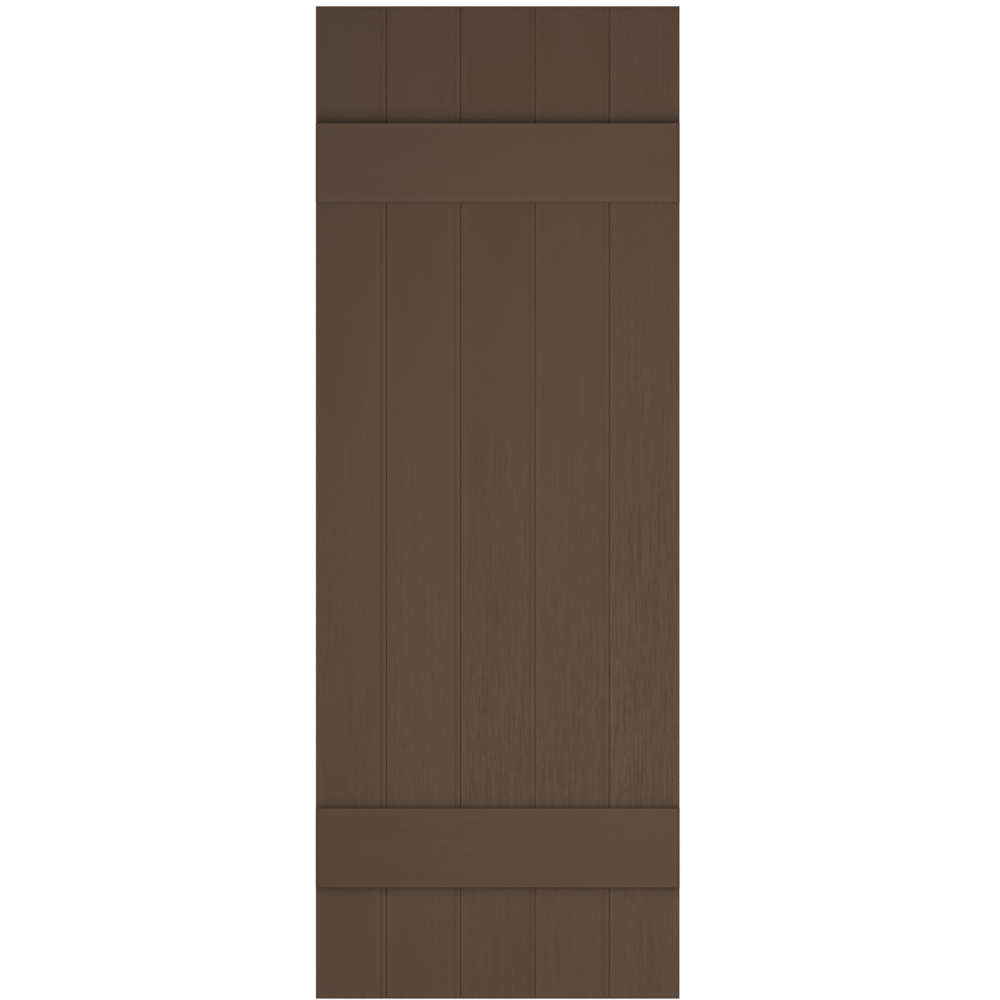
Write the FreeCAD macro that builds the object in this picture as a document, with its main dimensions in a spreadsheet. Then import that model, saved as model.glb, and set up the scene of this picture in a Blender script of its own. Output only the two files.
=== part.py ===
import FreeCAD, Part
import os
import Sketcher

# Board and batten shutter: upright tongue-and-groove boards, held flat by two battens that lie
# across the face and are screwed on from the back.
#
# Millimetres. X runs to the right as seen from the front, Z is up and the front faces -Y.
# The origin is the middle of the back, on the plane that lies against the wall.

SIZES = {
    # the whole shutter
    "shutter_width": "444.5",
    "shutter_height": "1212.85",
    # boards: the cover is the distance from one joint line to the next
    "board_cover": "90.8",
    "board_thickness": "19.05",
    "board_arris": "1.8",
    "back_chamfer": "0.8",
    # tongue-and-groove joint
    "joint_gap": "0.25",
    "tongue_length": "6.0",
    "tongue_thickness": "6.0",
    "tongue_ease": "0.8",
    "tongue_clearance": "0.25",
    # bead along the tongue edge, marked off by a quirk that the face slopes down into
    "bead_width": "5.5",
    "quirk_slope_width": "3.8",
    "quirk_wall_width": "1.4",
    "quirk_depth": "0.45",
    # battens
    "batten_width": "96.4",
    "batten_thickness": "12.7",
    "batten_arris": "1.2",
    "top_batten_drop": "143.1",
    "bottom_batten_rise": "136.6",
    # countersunk screws, each driven from the back through a board into a batten
    "screw_length": "28.0",
    "screw_diameter": "4.2",
    "screw_head_diameter": "6.5",
    "screw_sink": "0.3",
    "screw_fit": "0.1",
    "screw_edge_margin": "24.0",
    "screw_stagger": "19.0",
    "screw_end_room": "0.6",
    "drive_width": "2.4",
    "drive_depth": "2.0",
}

# From left to right as seen from the front.
BOARDS = (
    "left_edge_board",
    "left_inner_board",
    "centre_board",
    "right_inner_board",
    "right_edge_board",
)
SHEET = "Sizes"
COUNTERSINK_ANGLE = 90
ROOT_POINT = -1
START = 1
END = 2
CENTRE = 3
PLANE_TOLERANCE = 1e-4


class Size:
    """A length as a number, with the sheet formula that keeps the model tied to it."""

    def __init__(self, value, formula):
        self.value = value
        self.formula = formula

    def __add__(self, other):
        return Size(self.value + other.value, f"({self.formula} + {other.formula})")

    def __sub__(self, other):
        return Size(self.value - other.value, f"({self.formula} - {other.formula})")

    def __neg__(self):
        return Size(-self.value, f"(0 - {self.formula})")

    def __mul__(self, factor):
        return Size(self.value * factor, f"({self.formula} * {factor})")

    def __truediv__(self, divisor):
        return Size(self.value / divisor, f"({self.formula} / {divisor})")


ZERO = Size(0.0, "0")


def make_sheet(doc):
    """Writes the driving dimensions to a spreadsheet and returns them by name."""
    sheet = doc.addObject("Spreadsheet::Sheet", SHEET)
    for row, (alias, number) in enumerate(SIZES.items(), start=1):
        sheet.set(f"A{row}", alias.replace("_", " "))
        sheet.set(f"B{row}", number)
        sheet.setAlias(f"B{row}", alias)
    doc.recompute()
    return {alias: Size(float(sheet.get(alias)), f"{SHEET}.{alias}") for alias in SIZES}


def new_body(doc, name, x, y, z):
    """An empty body with its own origin at (x, y, z)."""
    body = doc.addObject("PartDesign::Body", name)
    body.Label = name
    for axis, size in (("x", x), ("y", y), ("z", z)):
        body.setExpression(f"Placement.Base.{axis}", size.formula)
    return body


def new_sketch(body, name, role):
    """A sketch on one of the body's own origin planes."""
    sketch = body.newObject("Sketcher::SketchObject", name)
    plane = next(feature for feature in body.Origin.OriginFeatures if feature.Role == role)
    sketch.AttachmentSupport = [(plane, "")]
    sketch.MapMode = "FlatFace"
    return sketch


def dimension(sketch, constraint, size):
    """Adds a dimension and ties it to the sheet."""
    index = sketch.addConstraint(constraint)
    sketch.setExpression(f"Constraints[{index}]", size.formula)


def pin_point(sketch, geometry, point, x, y):
    """Holds one point of a sketch element at (x, y) from the sketch's root point."""
    for kind, size in (("DistanceX", x), ("DistanceY", y)):
        constraint = Sketcher.Constraint(kind, ROOT_POINT, START, geometry, point, size.value)
        dimension(sketch, constraint, size)


def draw_outline(sketch, corners):
    """Draws a closed outline of straight lines through the corners, each a pair of sizes."""
    points = [FreeCAD.Vector(x.value, y.value, 0) for x, y in corners]
    for start, end in zip(points, points[1:] + points[:1]):
        sketch.addGeometry(Part.LineSegment(start, end))
    for line, (x, y) in enumerate(corners):
        line_before = (line - 1) % len(corners)
        sketch.addConstraint(Sketcher.Constraint("Coincident", line_before, END, line, START))
        pin_point(sketch, line, START, x, y)


def draw_circles(sketch, centres, diameter):
    """Draws one circle at each centre."""
    normal = FreeCAD.Vector(0, 0, 1)
    for x, y in centres:
        centre = FreeCAD.Vector(x.value, y.value, 0)
        circle = sketch.addGeometry(Part.Circle(centre, normal, diameter.value / 2))
        pin_point(sketch, circle, CENTRE, x, y)
        constraint = Sketcher.Constraint("Diameter", circle, diameter.value)
        dimension(sketch, constraint, diameter)


def pad(body, name, sketch, length):
    """Pads a sketch along its normal."""
    feature = body.newObject("PartDesign::Pad", name)
    feature.Profile = sketch
    feature.setExpression("Length", length.formula)
    return feature


def ease_face(body, name, base, front, radius):
    """Rounds every edge of the flat front face of base, the face on the plane y = front."""
    body.Document.recompute()
    edges = []
    for number, edge in enumerate(base.Shape.Edges, start=1):
        if all(abs(vertex.Y - front.value) < PLANE_TOLERANCE for vertex in edge.Vertexes):
            edges.append(f"Edge{number}")
    feature = body.newObject("PartDesign::Fillet", name)
    feature.Base = (base, edges)
    feature.setExpression("Radius", radius.formula)
    return feature


def drill(body, name, sketch, diameter):
    """Drills round holes at the sketch's circles, from the back towards the front."""
    body.Document.recompute()
    feature = body.newObject("PartDesign::Hole", name)
    feature.Profile = sketch
    feature.Reversed = True
    feature.ThreadType = "None"
    feature.DrillPoint = "Flat"
    feature.setExpression("Diameter", diameter.formula)
    return feature


def board_layout(size):
    """Each board's name, left line measured from the shutter's left side, and cover."""
    inner_boards = len(BOARDS) - 2
    edge_cover = (size["shutter_width"] - size["board_cover"] * inner_boards) / 2
    layout = []
    left = ZERO
    for number, name in enumerate(BOARDS):
        on_edge = number in (0, len(BOARDS) - 1)
        cover = edge_cover if on_edge else size["board_cover"]
        layout.append((name, left, cover))
        left = left + cover
    return layout


def batten_layout(size):
    """Each batten's name and lower edge, measured from the shutter's bottom."""
    top_edge = size["shutter_height"] - size["top_batten_drop"]
    return (
        ("top_batten", top_edge - size["batten_width"]),
        ("bottom_batten", size["bottom_batten_rise"]),
    )


def screw_offsets(size, board):
    """Where screws hold one board to a batten, from the middle of the place where they cross.

    A staggered pair in each edge board keeps the batten's ends down, and one screw in each
    inner board leaves it free to swell and shrink.
    """
    if board not in (BOARDS[0], BOARDS[-1]):
        return ((ZERO, ZERO),)
    rise = size["batten_width"] / 2 - size["screw_edge_margin"]
    stagger = size["screw_stagger"]
    return ((-stagger, rise), (stagger, -rise))


def groove_edge(size):
    """Left edge of a board's section, from the face round its groove to the back."""
    half_gap = size["joint_gap"] / 2
    bottom = size["tongue_length"] + size["tongue_clearance"]
    tongue_middle = size["board_thickness"] / 2
    half_groove = size["tongue_thickness"] / 2 + size["tongue_clearance"]
    chamfer = size["back_chamfer"]
    return [
        (half_gap, -size["board_thickness"]),
        (half_gap, -(tongue_middle + half_groove)),
        (bottom, -(tongue_middle + half_groove)),
        (bottom, -(tongue_middle - half_groove)),
        (ZERO, -(tongue_middle - half_groove)),
        (ZERO, -chamfer),
        (chamfer, ZERO),
    ]


def tongue_edge(size, cover):
    """Right edge of a board's section, from the back round its tongue to the face."""
    shoulder = cover - size["joint_gap"] / 2
    tip = cover + size["tongue_length"]
    ease = size["tongue_ease"]
    back = size["board_thickness"] / 2 - size["tongue_thickness"] / 2
    front = back + size["tongue_thickness"]
    chamfer = size["back_chamfer"]
    return [
        (cover - chamfer, ZERO),
        (cover, -chamfer),
        (cover, -back),
        (tip - ease, -back),
        (tip, -(back + ease)),
        (tip, -(front - ease)),
        (tip - ease, -front),
        (shoulder, -front),
        (shoulder, -size["board_thickness"]),
    ]


def plain_edge(size, x, back_corner):
    """An outer edge of a board's section, from its chamfered back to the face."""
    return [(back_corner, ZERO), (x, -size["back_chamfer"]), (x, -size["board_thickness"])]


def make_board(doc, size, name, left, cover):
    """One upright board: joints on its inner edges, eased face, bead and screw holes."""
    has_groove = name != BOARDS[0]
    has_tongue = name != BOARDS[-1]
    from_middle = left - size["shutter_width"] / 2
    body = new_body(doc, name, from_middle, ZERO, -(size["shutter_height"] / 2))

    right_edge = plain_edge(size, cover, cover - size["back_chamfer"])
    left_edge = plain_edge(size, ZERO, size["back_chamfer"])[::-1]
    if has_tongue:
        right_edge = tongue_edge(size, cover)
    if has_groove:
        left_edge = groove_edge(size)
    section = new_sketch(body, f"{name}_section", "XY_Plane")
    draw_outline(section, right_edge + left_edge)
    plank = pad(body, f"{name}_plank", section, size["shutter_height"])
    ease_face(body, f"{name}_eased", plank, -size["board_thickness"], size["board_arris"])
    if has_tongue:
        cut_quirk(body, name, size, cover)
    drill_screw_holes(body, name, size, cover)
    return body


def cut_quirk(body, name, size, cover):
    """The shallow vee that marks off the bead along a board's tongue edge: a gentle slope, then a wall."""
    bottom = cover - size["bead_width"]
    face = -size["board_thickness"]
    vee = new_sketch(body, f"{name}_quirk_section", "XY_Plane")
    draw_outline(
        vee,
        [
            (bottom - size["quirk_slope_width"], face),
            (bottom + size["quirk_wall_width"], face),
            (bottom, face + size["quirk_depth"]),
        ],
    )
    quirk = body.newObject("PartDesign::Pocket", f"{name}_quirk")
    quirk.Profile = vee
    quirk.Type = "ThroughAll"
    quirk.Reversed = True


def drill_screw_holes(body, name, size, cover):
    """Countersunk clearance holes through a board, at each batten."""
    centres = []
    for _, lower_edge in batten_layout(size):
        middle = lower_edge + size["batten_width"] / 2
        for across, up in screw_offsets(size, name):
            centres.append((cover / 2 + across, middle + up))
    diameter = size["screw_diameter"] + size["screw_fit"] * 2
    marks = new_sketch(body, f"{name}_screw_marks", "XZ_Plane")
    draw_circles(marks, centres, diameter)
    holes = drill(body, f"{name}_screw_holes", marks, diameter)
    holes.DepthType = "ThroughAll"
    holes.HoleCutType = "Countersink"
    holes.HoleCutCountersinkAngle = COUNTERSINK_ANGLE
    # A right-angled countersink is wider at its mouth by twice the depth that the head lies at.
    mouth = size["screw_head_diameter"] + (size["screw_sink"] + size["screw_fit"]) * 2
    holes.setExpression("HoleCutDiameter", mouth.formula)


def make_batten(doc, size, name, lower_edge):
    """One flat batten across the face, eased in front, with blind pilot holes in its back."""
    width = size["shutter_width"]
    height = size["batten_width"]
    from_middle = lower_edge - size["shutter_height"] / 2
    body = new_body(doc, name, -(width / 2), -size["board_thickness"], from_middle)

    face = new_sketch(body, f"{name}_face", "XZ_Plane")
    draw_outline(face, [(ZERO, ZERO), (width, ZERO), (width, height), (ZERO, height)])
    plank = pad(body, f"{name}_plank", face, size["batten_thickness"])
    ease_face(body, f"{name}_eased", plank, -size["batten_thickness"], size["batten_arris"])

    centres = []
    for board, left, cover in board_layout(size):
        for across, up in screw_offsets(size, board):
            centres.append((left + cover / 2 + across, height / 2 + up))
    diameter = size["screw_diameter"] + size["screw_fit"] * 2
    marks = new_sketch(body, f"{name}_pilot_marks", "XZ_Plane")
    draw_circles(marks, centres, diameter)
    pilots = drill(body, f"{name}_pilots", marks, diameter)
    pilots.DepthType = "Dimension"
    reach = size["screw_sink"] + size["screw_length"] - size["board_thickness"]
    pilots.setExpression("Depth", (reach + size["screw_end_room"]).formula)
    return body


def make_screw(doc, size, name, x, z):
    """One countersunk wood screw with a square drive, its head just under the back of a board."""
    body = new_body(doc, name, x, -size["screw_sink"], z)
    head = size["screw_head_diameter"] / 2
    shank = size["screw_diameter"] / 2
    length = size["screw_length"]

    half_section = new_sketch(body, f"{name}_half_section", "XY_Plane")
    draw_outline(
        half_section,
        [
            (ZERO, ZERO),
            (head, ZERO),
            (shank, shank - head),
            (shank, -length),
            (ZERO, -length),
        ],
    )
    turned = body.newObject("PartDesign::Revolution", f"{name}_turned")
    turned.Profile = half_section
    turned.ReferenceAxis = (half_section, ["V_Axis"])
    turned.Angle = 360

    half_drive = size["drive_width"] / 2
    square = new_sketch(body, f"{name}_drive_square", "XZ_Plane")
    draw_outline(
        square,
        [
            (-half_drive, -half_drive),
            (half_drive, -half_drive),
            (half_drive, half_drive),
            (-half_drive, half_drive),
        ],
    )
    drive = body.newObject("PartDesign::Pocket", f"{name}_drive")
    drive.Profile = square
    drive.Reversed = True
    drive.setExpression("Length", size["drive_depth"].formula)
    return body


def make_screws(doc, size):
    """The screws wherever a board crosses a batten, numbered from the left."""
    screws = []
    for batten, lower_edge in batten_layout(size):
        middle = lower_edge + size["batten_width"] / 2 - size["shutter_height"] / 2
        number = 0
        for board, left, cover in board_layout(size):
            board_middle = left + cover / 2 - size["shutter_width"] / 2
            for across, up in screw_offsets(size, board):
                number += 1
                name = f"{batten}_screw_{number}"
                screws.append(make_screw(doc, size, name, board_middle + across, middle + up))
    return screws


def check_document(doc, bodies):
    """Stops if a feature failed, a cut removed nothing or a piece isn't one valid solid."""
    for item in doc.Objects:
        if "Invalid" in item.State or "Error" in item.State:
            raise RuntimeError(f"{item.Label} failed: {item.State}")
        if item.TypeId in ("PartDesign::Pocket", "PartDesign::Hole"):
            if item.Shape.Volume >= item.BaseFeature.Shape.Volume:
                raise RuntimeError(f"{item.Label} cut nothing")
    for body in bodies:
        shape = body.Shape
        if shape.isNull() or not shape.isValid() or len(shape.Solids) != 1:
            raise RuntimeError(f"{body.Label} isn't one valid solid")


def main():
    doc = FreeCAD.newDocument("shutter")
    size = make_sheet(doc)
    bodies = [make_board(doc, size, *board) for board in board_layout(size)]
    bodies += [make_batten(doc, size, *batten) for batten in batten_layout(size)]
    bodies += make_screws(doc, size)
    doc.recompute()
    check_document(doc, bodies)
    os.makedirs("parts", exist_ok=True)
    for body in bodies:
        body.Shape.exportStep(f"parts/{body.Label}.step")


main()
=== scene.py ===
"""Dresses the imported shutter: grained boards and battens, coated screws, floor, light and camera."""

import math
import random

import bmesh
import bpy
import numpy as np
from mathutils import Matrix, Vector, noise


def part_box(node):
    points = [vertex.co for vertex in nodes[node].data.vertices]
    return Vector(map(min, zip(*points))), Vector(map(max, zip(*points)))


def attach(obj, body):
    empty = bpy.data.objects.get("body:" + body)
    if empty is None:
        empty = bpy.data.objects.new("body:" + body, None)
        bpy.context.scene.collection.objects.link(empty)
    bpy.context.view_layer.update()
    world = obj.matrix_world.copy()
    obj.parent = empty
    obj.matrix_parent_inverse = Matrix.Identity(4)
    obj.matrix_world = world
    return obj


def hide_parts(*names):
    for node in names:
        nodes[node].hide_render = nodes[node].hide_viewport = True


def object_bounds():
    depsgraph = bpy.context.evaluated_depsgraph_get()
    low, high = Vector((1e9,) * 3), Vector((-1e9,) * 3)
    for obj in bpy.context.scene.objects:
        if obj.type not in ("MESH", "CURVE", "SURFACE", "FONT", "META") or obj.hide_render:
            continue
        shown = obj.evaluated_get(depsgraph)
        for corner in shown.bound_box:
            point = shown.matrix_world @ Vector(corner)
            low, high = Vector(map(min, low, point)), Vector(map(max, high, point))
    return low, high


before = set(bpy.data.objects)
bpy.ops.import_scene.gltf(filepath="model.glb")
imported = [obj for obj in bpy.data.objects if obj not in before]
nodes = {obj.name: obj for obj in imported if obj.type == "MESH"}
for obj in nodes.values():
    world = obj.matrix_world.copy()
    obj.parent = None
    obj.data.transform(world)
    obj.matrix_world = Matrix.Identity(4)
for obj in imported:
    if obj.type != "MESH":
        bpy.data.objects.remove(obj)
cad_low, cad_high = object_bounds()

# Axes of the frame: X to the right, Y to the back, Z up
X, Y, Z = 0, 1, 2

# Lengths are in metres
MILLIMETRE = 0.001
WELD = 0.001 * MILLIMETRE
FLAT = 0.01 * MILLIMETRE

# How closely the meshes follow the surface
SECTION_PLACE = 0.25
FACE_STEP = 1.0 * MILLIMETRE
SIDE_STEP = 7.0 * MILLIMETRE
GRAIN_STEP = 3.5 * MILLIMETRE
EASE_TURNS = 5
STRAIGHT_TURN = math.radians(1)
SHARP_TURN = math.radians(32)

# Raised grain on the faces: cells of the noise across and along the wood, their weights, how deep the
# deepest valley is, and how far in from an edge the grain is full
GRAIN_WIDTH = 2.2 * MILLIMETRE
GRAIN_LENGTH = 10.0 * MILLIMETRE
GRAIN_WEIGHT = 0.60
LONG_GRAIN_WIDTH = 2.4 * MILLIMETRE
LONG_GRAIN_LENGTH = 100.0 * MILLIMETRE
LONG_GRAIN_WEIGHT = 0.70
PATCH_WIDTH = 30.0 * MILLIMETRE
PATCH_LENGTH = 150.0 * MILLIMETRE
PATCH_WEIGHT = 0.7
MEAN_STRENGTH = 0.65
LEAST_STRENGTH = 0.25
MEAN_VALLEY = 0.4
GRAIN_DEPTH = 0.09 * MILLIMETRE
GRAIN_FADE = 2.0 * MILLIMETRE

# Places on a face that are coloured apart: paler margins; painted shade on the rim round the whole front
# and in the quirks, darkest from the hollow's depth down; and painted light and shade on the arrises within
# reach of the sides
WORN_WIDTH = 9.0 * MILLIMETRE
# Painted shade reaches this far in from the shutter's outline
OUTLINE_SHADE_WIDTH = 2.0 * MILLIMETRE
HOLLOW_DEPTH = 0.45 * MILLIMETRE
ARRIS_REACH = 3.0 * MILLIMETRE

# Screw holes, and the digits to which a screw's depths in metres are told apart
HOLE_CLEARANCE = 0.1 * MILLIMETRE
HOLE_SIDES = 40
HOLE_OVERRUN = 1.0 * MILLIMETRE
DEPTH_DIGITS = 6

# Seeds, one for each board and batten, and the step to the next noise of the same piece
FIRST_SEED = 11
SEED_STEP = 20

# Noise in the stain: its cells across and along the wood, its character and the spans of its values
STREAK_WIDTH = 2.2 * MILLIMETRE
STREAK_LENGTH = 26.0 * MILLIMETRE
PORE_WIDTH = 0.8 * MILLIMETRE
PORE_LENGTH = 9.0 * MILLIMETRE
BROAD_WIDTH = 55.0 * MILLIMETRE
BROAD_LENGTH = 380.0 * MILLIMETRE
NOISE_ROUGHNESS = 0.55
NOISE_DETAIL = 3.0
NOISE_MIDDLE = 0.5
NOISE_SPAN = (0.3, 0.7)
PORE_SPAN = (0.28, 0.44)
SHIFT_RANGE = 50.0

# How far each part of the stain, and each painted shade, moves the tone
STREAK_TONE = 0.62
RELIEF_TONE = 0.26
BROAD_TONE = 0.22
WORN_TONE = 0.08
# Painted shade: how much darker the front is round the outline
OUTLINE_SHADE_TONE = 0.9
# Painted shade on the shoulders of the boards' arrises
SHOULDER_SHADE_TONE = 1.4
# Painted shade in the quirks
QUIRK_SHADE_TONE = 0.27
PORE_TONE = 0.05

# Heights between which the grain fades upwards, the quirks' painted shade too, and the grain down to the
# foot
FADE_SPAN = (-0.25, 0.30)
QUIRK_SHADE_SPAN = (-0.10, 0.50)
QUIRK_SHADE_SHARE = 0.36
FOOT_SPAN = (-0.47, -0.37)
FOOT_SHARE = 0.5

# The stain's tones and their colours in display levels, the paler colour painted on the arrises as painted
# light against their shade, and the stain's surface
STAIN = [(0.0, (67, 45, 27)), (0.5, (87, 67, 51)), (1.0, (102, 84, 70))]
PAINTED_ARRIS_LIGHT = (103, 82, 62)
WOOD_ROUGHNESS = (0.60, 0.72)
WOOD_SPECULAR = 0.15
PORE_DEPTH = 0.5
BUMP_STRENGTH = 0.3
BUMP_DISTANCE = 0.15 * MILLIMETRE

# Each piece's own wood: how strongly its grain shows, the share of that left at the shutter's top,
# and its mean tone from 0, dark, to 1, light
WOOD = {
    "left_edge_board": (0.76, 0.15, 0.53),
    "left_inner_board": (0.95, 0.15, 0.52),
    "centre_board": (1.30, 0.15, 0.47),
    "right_inner_board": (1.20, 0.15, 0.49),
    "right_edge_board": (1.60, 0.38, 0.51),
    "top_batten": (0.80, 0.15, 0.57),
    "bottom_batten": (0.60, 0.15, 0.48),
}

# Coating on the screws
COATING_CELL = 0.7 * MILLIMETRE
COATING_METAL = 0.85
COATING_ROUGHNESS = (0.50, 0.36)
COATING_BUMP_STRENGTH = 0.15
COATING_BUMP_DISTANCE = 0.05 * MILLIMETRE
COATING_DARK = (88, 82, 76)
COATING_LIGHT = (108, 101, 93)

# Floor and light: the world's strength from each side, and the lamp's place, size and watts
FLOOR_REACH = 30.0
FLOOR_COLOUR = (0.8, 0.8, 0.8, 1.0)
FLOOR_GLOW = 0.72
LIGHT_FROM_BELOW = 0.37
LIGHT_FROM_ABOVE = 0.03
LIGHT_FROM_BEHIND = 0.85
BELOW_TO_ABOVE = (-0.3, 0.2)
FRONT_TO_BEHIND = (-0.1, 0.4)
LAMP_PLACE = (0.16, -1.02, -0.16)
LAMP_WIDTH = 0.77
LAMP_HEIGHT = 1.8
LAMP_POWER = 12.65

# View of the photograph: metres across the picture, and the picture's middle in the frame
LENS = 400.0
SENSOR = 36.0
PICTURE_WIDTH = 1.2218
PICTURE_X = 0.0028
PICTURE_Z = 0.0030


def linear(levels):
    """A colour given in display levels from 0 to 255, as the linear values that shaders take."""
    values = []
    for level in levels:
        share = level / 255
        values.append(share / 12.92 if share <= 0.04045 else ((share + 0.055) / 1.055) ** 2.4)
    return (*values, 1.0)


def across_axis(along):
    """The axis that runs over a piece's face, square to its length."""
    return X if along == Z else Z


def chained(edges):
    """The vertices of a closed run of edges, in order."""
    neighbours = {}
    for edge in edges:
        first, second = edge.verts
        neighbours.setdefault(first, []).append(second)
        neighbours.setdefault(second, []).append(first)
    start = edges[0].verts[0]
    loop = [start]
    previous = start
    current = neighbours[start][0]
    while current is not start:
        loop.append(current)
        first, second = neighbours[current]
        following = second if first is previous else first
        previous = current
        current = following
    return loop


def without_straight_points(points):
    """The outline less the points at which it doesn't turn."""
    kept = []
    for i, point in enumerate(points):
        before = Vector(point) - Vector(points[i - 1])
        after = Vector(points[(i + 1) % len(points)]) - Vector(point)
        if before.angle(after, 0) > STRAIGHT_TURN:
            kept.append(point)
    return kept


def section_outline(name, along):
    """The outline of a node's section clear of its holes, as (across, depth) points in order."""
    low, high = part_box(name)
    normal = Vector((0, 0, 0))
    normal[along] = 1
    solid = bmesh.new()
    solid.from_mesh(nodes[name].data)
    bmesh.ops.remove_doubles(solid, verts=solid.verts, dist=WELD)
    cut = bmesh.ops.bisect_plane(
        solid,
        geom=solid.verts[:] + solid.edges[:] + solid.faces[:],
        dist=WELD,
        plane_co=low.lerp(high, SECTION_PLACE),
        plane_no=normal,
        clear_outer=True,
    )
    outline_shade = [part for part in cut["geom_cut"] if isinstance(part, bmesh.types.BMEdge)]
    points = [(vertex.co[across_axis(along)], vertex.co[Y]) for vertex in chained(outline_shade)]
    solid.free()
    return without_straight_points(points)


def refined(points, front):
    """The outline with points added on its runs: close together on the front, wide apart elsewhere."""
    fine = []
    for start, end in zip(points, points[1:] + points[:1]):
        on_front = max(start[1], end[1]) < front + FLAT
        step = FACE_STEP if on_front else SIDE_STEP
        count = math.ceil(math.dist(start, end) / step)
        for i in range(count):
            share = i / count
            fine.append((start[0] + (end[0] - start[0]) * share, start[1] + (end[1] - start[1]) * share))
    return np.array(fine)


def end_ease(name, along):
    """How far the arris at a node's end is rounded, from the front edge of the end face."""
    low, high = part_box(name)
    depths = [v.co[Y] for v in nodes[name].data.vertices if v.co[along] < low[along] + FLAT]
    return min(depths) - low[Y]


def stations(low, high, ease):
    """Places along a piece, close together where the ends are rounded."""
    turns = [math.pi / 2 * i / EASE_TURNS for i in range(EASE_TURNS)]
    eased = np.array([ease * (1 - math.cos(turn)) for turn in turns])
    count = math.ceil((high - low - 2 * ease) / GRAIN_STEP)
    inner = np.linspace(low + ease, high - ease, count + 1)
    return np.concatenate([low + eased, inner, (high - eased)[::-1]])


def setback(distance, ease):
    """How far a rounded arris has fallen back from the face at a distance from the end."""
    inside = np.clip(ease - distance, 0, None)
    return ease - np.sqrt(np.clip(ease**2 - inside**2, 0, None))


def grain_valley(across, along, seed):
    """How far the grain falls at a point of a face, from 0 on the ridges to 1 in the deepest valley."""
    short = noise.noise(Vector((across / GRAIN_WIDTH, along / GRAIN_LENGTH, seed)))
    seed += SEED_STEP
    long = noise.noise(Vector((across / LONG_GRAIN_WIDTH, along / LONG_GRAIN_LENGTH, seed)))
    seed += SEED_STEP
    patch = noise.noise(Vector((across / PATCH_WIDTH, along / PATCH_LENGTH, seed)))
    strength = min(1.0, max(LEAST_STRENGTH, MEAN_STRENGTH + PATCH_WEIGHT * patch))
    grain = GRAIN_WEIGHT * short + LONG_GRAIN_WEIGHT * long
    return min(1.0, max(0.0, MEAN_VALLEY - strength * grain))


def sweep_faces(rows, columns):
    """Faces of a closed sweep: quads between its rows of points, and one face over each end."""
    faces = []
    for i in range(rows - 1):
        for j in range(columns):
            here = i * columns + j
            beside = i * columns + (j + 1) % columns
            faces.append((here, beside, beside + columns, here + columns))
    faces.append(tuple(range(columns)))
    faces.append(tuple(range((rows - 1) * columns, rows * columns)))
    return faces


def outward_mesh(name, points, faces, values):
    """A mesh with its faces turned outwards, which keeps the named values at its points."""
    mesh = bpy.data.meshes.new(name)
    mesh.from_pydata(points.reshape(-1, 3), [], faces)
    for label, spread in values.items():
        attribute = mesh.attributes.new(label, "FLOAT", "POINT")
        attribute.data.foreach_set("value", spread.astype(np.float32).ravel())
    turned = bmesh.new()
    turned.from_mesh(mesh)
    bmesh.ops.recalc_face_normals(turned, faces=turned.faces)
    turned.to_mesh(mesh)
    turned.free()
    return mesh


def within(distance, reach):
    """1 where a distance is nothing, falling to 0 where it comes to the reach."""
    return np.clip(1 - distance / reach, 0, 1)


def to_outline(points):
    """How far each point is from the shutter's outline as seen from the front."""
    distances = []
    for axis in (X, Z):
        distances += [points[:, :, axis] - cad_low[axis], cad_high[axis] - points[:, :, axis]]
    return np.minimum.reduce(distances)


def grained_piece(name, along, seed):
    """A board or batten with the node's own section, raised grain on its face and rounded ends."""
    low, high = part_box(name)
    front = low[Y]
    ease = end_ease(name, along)
    ring = refined(section_outline(name, along), front)
    across, back = ring.T
    on_front = back < front + FLAT
    on_edge = ~on_front & (back < front + GRAIN_FADE)
    places = stations(low[along], high[along], ease)
    shape = (len(places), len(ring))

    # Distances over the face to its broken edges, its sides and its ends
    face = across[on_front | on_edge]
    to_edge = np.abs(across[:, None] - across[on_edge]).min(axis=1)
    to_side = np.clip(np.minimum(across - face.min(), face.max() - across), 0, None)
    to_end = np.minimum(places - low[along], high[along] - places)[:, None]

    valley = np.zeros(shape)
    for i, place in enumerate(places):
        for j in np.flatnonzero(on_front):
            valley[i, j] = grain_valley(across[j], place, seed)
    inside = np.clip(to_edge / GRAIN_FADE, 0, 1) * np.clip((to_end - ease) / GRAIN_FADE, 0, 1)
    points = np.zeros((*shape, 3))
    points[:, :, along] = places[:, None]
    points[:, :, across_axis(along)] = across
    points[:, :, Y] = np.maximum(back + GRAIN_DEPTH * valley * inside, front + setback(to_end, ease))

    # What the stain, and the painted shade and light, go by at each point
    broken = np.clip((back - front) / HOLLOW_DEPTH, 0, 1) * on_edge
    on_arris = to_side < ARRIS_REACH
    # Painted shade: darker within reach of the shutter's outline
    outline_shade = within(to_outline(points), OUTLINE_SHADE_WIDTH) * (on_front | on_edge)
    values = {
        "valley": valley,
        "worn": within(np.minimum(to_side, to_end), WORN_WIDTH),
        # Painted shade in the quirks, and painted light and shade on the boards' arrises
        "quirk_shade": np.broadcast_to(broken * ~on_arris, shape),
        "arris_light_and_shade": broken * on_arris * (1 - outline_shade) * (along == Z),
        "outline_shade": outline_shade,
    }
    mesh = outward_mesh(name + "_grained", points, sweep_faces(*shape), values)
    piece = bpy.data.objects.new(mesh.name, mesh)
    bpy.context.scene.collection.objects.link(piece)
    return piece


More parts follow.
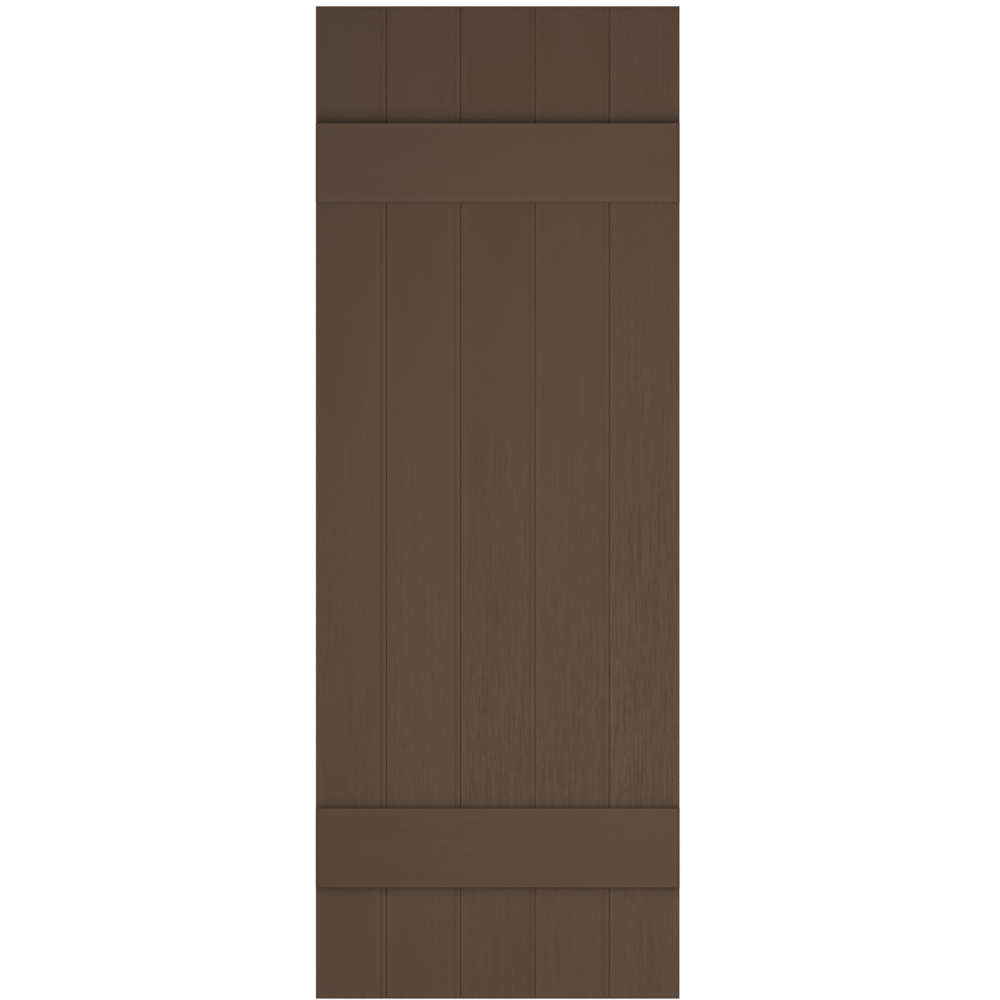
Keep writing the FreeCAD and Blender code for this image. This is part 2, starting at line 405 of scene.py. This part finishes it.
def screw_profile(name):
    """The outside of a screw with clearance, as (depth, radius) from its tip to beyond the back."""
    low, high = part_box(name)
    centre = (low + high) / 2
    widest = {}
    for vertex in nodes[name].data.vertices:
        depth = round(vertex.co[Y], DEPTH_DIGITS)
        radius = math.hypot(vertex.co[X] - centre[X], vertex.co[Z] - centre[Z])
        widest[depth] = max(radius, widest.get(depth, 0))
    levels = sorted(widest)
    shank = widest[levels[0]]
    profile = [(levels[0] - HOLE_CLEARANCE, shank + HOLE_CLEARANCE)]
    for depth in levels[1:]:
        if widest[depth] > shank - FLAT:
            profile.append((depth, widest[depth] + HOLE_CLEARANCE))
    head_depth, head_radius = profile[-1]
    way_out = cad_high[Y] + HOLE_OVERRUN - head_depth
    profile.append((head_depth + way_out, head_radius + way_out))
    return centre, profile


def hole_cutter(screws):
    """One mesh of the screws' outsides with clearance, running out through the back."""
    cutter = bmesh.new()
    for name in screws:
        centre, profile = screw_profile(name)
        rings = []
        for depth, radius in profile:
            ring = []
            for i in range(HOLE_SIDES):
                turn = 2 * math.pi * i / HOLE_SIDES
                place = (centre[X] + radius * math.cos(turn), depth, centre[Z] + radius * math.sin(turn))
                ring.append(cutter.verts.new(place))
            rings.append(ring)
        for ring, following in zip(rings, rings[1:]):
            for i in range(HOLE_SIDES):
                beside = (i + 1) % HOLE_SIDES
                cutter.faces.new((ring[i], ring[beside], following[beside], following[i]))
        cutter.faces.new(rings[0])
        cutter.faces.new(rings[-1])
    bmesh.ops.recalc_face_normals(cutter, faces=cutter.faces)
    mesh = bpy.data.meshes.new("hole_cutter")
    cutter.to_mesh(mesh)
    cutter.free()
    holder = bpy.data.objects.new("hole_cutter", mesh)
    bpy.context.scene.collection.objects.link(holder)
    return holder


def cut_holes(piece, screws):
    """Cuts the screws' holes in a piece for good, and smooths its shading between sharp edges."""
    holder = hole_cutter(screws)
    holes = piece.modifiers.new("holes", "BOOLEAN")
    holes.operation = "DIFFERENCE"
    holes.solver = "EXACT"
    holes.object = holder
    shown = piece.evaluated_get(bpy.context.evaluated_depsgraph_get())
    drilled = bpy.data.meshes.new_from_object(shown)
    piece.modifiers.clear()
    plain = piece.data
    drilled.name = plain.name
    piece.data = drilled
    bpy.data.meshes.remove(plain)
    cutter_mesh = holder.data
    bpy.data.objects.remove(holder)
    bpy.data.meshes.remove(cutter_mesh)
    drilled.shade_smooth()
    drilled.set_sharp_from_angle(angle=SHARP_TURN)


def screws_through(name):
    """The screws whose axes pass through a board or batten."""
    low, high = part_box(name)
    found = []
    for screw in screw_names:
        screw_low, screw_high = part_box(screw)
        centre = (screw_low + screw_high) / 2
        if low[X] < centre[X] < high[X] and low[Z] < centre[Z] < high[Z]:
            found.append(screw)
    return found


class Graph:
    """Builds the nodes of one material or world."""

    def __init__(self, owner):
        owner.use_nodes = True
        self.tree = owner.node_tree
        self.tree.nodes.clear()

    def add(self, kind, inputs, **settings):
        """A node of that kind, with its settings, and its inputs set or linked."""
        node = self.tree.nodes.new("ShaderNode" + kind)
        for setting, value in settings.items():
            setattr(node, setting, value)
        for key, value in inputs.items():
            if isinstance(value, bpy.types.NodeSocket):
                self.tree.links.new(value, node.inputs[key])
            else:
                node.inputs[key].default_value = value
        return node

    def math(self, operation, *values):
        """The result of a sum on numbers and sockets."""
        return self.add("Math", dict(enumerate(values)), operation=operation).outputs[0]

    def ranged(self, value, span, start, end):
        """Start at the low end of the value's span and below, end at its high end and above."""
        low, high = span
        inputs = {"Value": value, "From Min": low, "From Max": high, "To Min": start, "To Max": end}
        return self.add("MapRange", inputs).outputs[0]

    def attribute(self, name):
        """A value that the mesh keeps at its points."""
        return self.add("Attribute", {}, attribute_name=name).outputs["Fac"]

    def noise(self, sizes, shift):
        """Solid noise with cells of those sizes along X, Y and Z."""
        place = self.add("TexCoord", {}).outputs["Object"]
        scale = [1 / size for size in sizes]
        mapped = self.add("Mapping", {"Vector": place, "Location": shift, "Scale": scale}).outputs[0]
        inputs = {"Vector": mapped, "Scale": 1.0, "Detail": NOISE_DETAIL, "Roughness": NOISE_ROUGHNESS}
        return self.add("TexNoise", inputs).outputs[0]

    def ramp(self, value, stops):
        """A colour ramp through (place, colour) stops."""
        node = self.add("ValToRGB", {"Fac": value})
        points = node.color_ramp.elements
        stops = list(stops)
        while len(points) < len(stops):
            points.new(1.0)
        for point, (place, colour) in zip(points, stops):
            point.position = place
            point.color = linear(colour)
        return node.outputs[0]

    def mix(self, share, first, second):
        """The first colour where the share is 0, and the second where it is 1."""
        inputs = {"Fac": share, "Color1": first, "Color2": second}
        return self.add("MixRGB", inputs).outputs["Color"]

    def bump(self, height, strength, distance):
        """A normal turned by a height."""
        inputs = {"Height": height, "Strength": strength, "Distance": distance}
        return self.add("Bump", inputs).outputs[0]

    def surface(self, inputs):
        """Ends the graph in a principled surface."""
        shader = self.add("BsdfPrincipled", inputs)
        self.add("OutputMaterial", {"Surface": shader.outputs[0]})

    def seen_directly(self):
        """1 for rays from the camera, from a reflection or through glass, and 0 for light."""
        path = self.add("LightPath", {}).outputs
        mirrored = self.math("MAXIMUM", path["Is Glossy Ray"], path["Is Transmission Ray"])
        return self.math("MAXIMUM", path["Is Camera Ray"], mirrored)


def grain_sizes(width, length, along):
    """Cell sizes of noise drawn out along the wood."""
    sizes = [width] * 3
    sizes[along] = length
    return sizes


def stain_tone(graph, streak, broad, open_pore, arris_light_and_shade, wood):
    """The stain's tone: grain that fades with height, broad changes, and what each place on a face adds,
    painted shade in the quirks, on the arrises' shoulders and round the outline among it.
    """
    contrast, top_share, middle = wood
    place = graph.add("TexCoord", {}).outputs["Object"]
    rise = graph.add("SeparateXYZ", {"Vector": place}).outputs["Z"]
    foot = graph.ranged(rise, FOOT_SPAN, FOOT_SHARE, 1.0)
    shown = graph.math("MULTIPLY", graph.ranged(rise, FADE_SPAN, contrast, contrast * top_share), foot)
    # Painted shade in the quirks, less of it towards the top
    quirk_shade_shown = graph.ranged(rise, QUIRK_SHADE_SPAN, 1.0, QUIRK_SHADE_SHARE)
    painted_quirk_shade = graph.math("MULTIPLY", graph.attribute("quirk_shade"), quirk_shade_shown)
    # Painted shade on the arrises' shoulders, which widens the joint line
    shoulder_shade = graph.math("MULTIPLY", arris_light_and_shade, graph.math("SUBTRACT", 1.0, arris_light_and_shade))
    mean_lines = STREAK_TONE * NOISE_MIDDLE - RELIEF_TONE * MEAN_VALLEY
    lines = graph.math("MULTIPLY_ADD", streak, STREAK_TONE, -mean_lines)
    lines = graph.math("MULTIPLY_ADD", graph.attribute("valley"), -RELIEF_TONE, lines)
    tone = graph.math("MULTIPLY_ADD", lines, shown, middle - BROAD_TONE * NOISE_MIDDLE)
    moves = [
        (painted_quirk_shade, -QUIRK_SHADE_TONE),
        (broad, BROAD_TONE),
        (graph.attribute("worn"), WORN_TONE),
        (graph.attribute("outline_shade"), -OUTLINE_SHADE_TONE),
        (shoulder_shade, -SHOULDER_SHADE_TONE),
        (open_pore, -PORE_TONE),
    ]
    for part, move in moves:
        tone = graph.math("MULTIPLY_ADD", part, move, tone)
    return tone


def stained_wood(name, along, seed, wood):
    """Brown stain on wood, with painted light and shade at its joints and outline, and a sheen and a fine
    relief that follow its streaks and pores.
    """
    draw = random.Random(seed)
    shifts = [[draw.uniform(-SHIFT_RANGE, SHIFT_RANGE) for _ in range(3)] for _ in range(3)]
    material = bpy.data.materials.new(name)
    graph = Graph(material)
    streak = graph.noise(grain_sizes(STREAK_WIDTH, STREAK_LENGTH, along), shifts[0])
    pore = graph.noise(grain_sizes(PORE_WIDTH, PORE_LENGTH, along), shifts[1])
    broad = graph.noise(grain_sizes(BROAD_WIDTH, BROAD_LENGTH, along), shifts[2])
    open_pore = graph.ranged(pore, PORE_SPAN, 1.0, 0.0)
    arris_light_and_shade = graph.attribute("arris_light_and_shade")
    tone = stain_tone(graph, streak, broad, open_pore, arris_light_and_shade, wood)
    # Painted light: a paler colour on the boards' arrises that lifts their shade
    colour = graph.mix(arris_light_and_shade, graph.ramp(tone, STAIN), linear(PAINTED_ARRIS_LIGHT))
    rough = graph.ranged(streak, NOISE_SPAN, *WOOD_ROUGHNESS)
    relief = graph.math("MULTIPLY_ADD", open_pore, -PORE_DEPTH, streak)
    bump = graph.bump(relief, BUMP_STRENGTH, BUMP_DISTANCE)
    graph.surface(
        {"Base Color": colour, "Roughness": rough, "Specular IOR Level": WOOD_SPECULAR, "Normal": bump}
    )
    return material


def coated_metal():
    """Dark bronze coating on the screws, a little uneven in tone and sheen."""
    material = bpy.data.materials.new("bronze_coating")
    graph = Graph(material)
    mottle = graph.noise([COATING_CELL] * 3, (0, 0, 0))
    colour = graph.ramp(mottle, zip(NOISE_SPAN, (COATING_DARK, COATING_LIGHT)))
    rough = graph.ranged(mottle, NOISE_SPAN, *COATING_ROUGHNESS)
    bump = graph.bump(mottle, COATING_BUMP_STRENGTH, COATING_BUMP_DISTANCE)
    graph.surface({"Base Color": colour, "Roughness": rough, "Metallic": COATING_METAL, "Normal": bump})
    return material


def white_floor():
    """A pale floor that looks white and keeps the shadow on it."""
    material = bpy.data.materials.new("pale_floor")
    graph = Graph(material)
    matt = graph.add("BsdfDiffuse", {"Color": FLOOR_COLOUR})
    glow = graph.math("MULTIPLY", graph.seen_directly(), FLOOR_GLOW)
    white = graph.add("Emission", {"Strength": glow})
    both = graph.add("AddShader", {0: matt.outputs[0], 1: white.outputs[0]})
    graph.add("OutputMaterial", {"Surface": both.outputs[0]})
    return material


def add_floor():
    """The floor, level with the shutter's foot."""
    mesh = bpy.data.meshes.new("floor")
    corners = [(-FLOOR_REACH, -FLOOR_REACH), (FLOOR_REACH, -FLOOR_REACH)]
    corners += [(FLOOR_REACH, FLOOR_REACH), (-FLOOR_REACH, FLOOR_REACH)]
    mesh.from_pydata([(x, y, cad_low[Z]) for x, y in corners], [], [(0, 1, 2, 3)])
    floor = bpy.data.objects.new("floor", mesh)
    bpy.context.scene.collection.objects.link(floor)
    mesh.materials.append(white_floor())
    floor.visible_diffuse = False
    floor.visible_shadow = False


def add_world():
    """White surroundings, with soft light: full from behind, and on the lamp's side mostly from below."""
    world = bpy.data.worlds.new("studio")
    bpy.context.scene.world = world
    graph = Graph(world)
    direction = graph.add("TexCoord", {}).outputs["Generated"]
    parts = graph.add("SeparateXYZ", {"Vector": direction}).outputs
    front_light = graph.ranged(parts["Z"], BELOW_TO_ABOVE, LIGHT_FROM_BELOW, LIGHT_FROM_ABOVE)
    behind = graph.ranged(parts["Y"], FRONT_TO_BEHIND, 0.0, 1.0)
    more = graph.math("SUBTRACT", LIGHT_FROM_BEHIND, front_light)
    light = graph.math("MULTIPLY_ADD", behind, more, front_light)
    seen = graph.seen_directly()
    unseen = graph.math("SUBTRACT", 1.0, seen)
    strength = graph.math("MULTIPLY_ADD", light, unseen, seen)
    sky = graph.add("Background", {"Color": (1.0, 1.0, 1.0, 1.0), "Strength": strength})
    graph.add("OutputWorld", {"Surface": sky.outputs[0]})


def add_lamp():
    """One tall soft lamp in front, which the camera doesn't see."""
    light = bpy.data.lights.new("lamp", "AREA")
    light.shape = "RECTANGLE"
    light.size = LAMP_WIDTH
    light.size_y = LAMP_HEIGHT
    light.energy = LAMP_POWER
    lamp = bpy.data.objects.new("lamp", light)
    lamp.location = LAMP_PLACE
    lamp.rotation_euler = (math.pi / 2, 0, 0)
    lamp.visible_camera = False
    bpy.context.scene.collection.objects.link(lamp)


def add_camera():
    """A long lens square to the front, framed as the photograph is."""
    data = bpy.data.cameras.new("camera")
    data.lens = LENS
    data.sensor_width = SENSOR
    camera = bpy.data.objects.new("camera", data)
    board_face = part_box(board_names[0])[0][Y]
    camera.location = (PICTURE_X, board_face - PICTURE_WIDTH * LENS / SENSOR, PICTURE_Z)
    camera.rotation_euler = (math.pi / 2, 0, 0)
    bpy.context.scene.collection.objects.link(camera)
    bpy.context.scene.camera = camera


board_names = [name for name in sorted(nodes) if name.endswith("_board")]
batten_names = [name for name in sorted(nodes) if name.endswith("_batten")]
screw_names = [name for name in sorted(nodes) if "_screw_" in name]

wood_pieces = [(name, Z, "boards") for name in board_names]
wood_pieces += [(name, X, "battens") for name in batten_names]
for number, (name, along, slot) in enumerate(wood_pieces):
    seed = FIRST_SEED + number
    piece = grained_piece(name, along, seed)
    cut_holes(piece, screws_through(name))
    piece.data.materials.append(stained_wood(name + "_stain", along, seed, WOOD[name]))
    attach(piece, "root")
    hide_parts(name)

coating = coated_metal()
for name in screw_names:
    nodes[name].material_slots[0].material = coating

add_floor()
add_world()
add_lamp()
add_camera()
bpy.context.scene.view_settings.view_transform = "Standard"
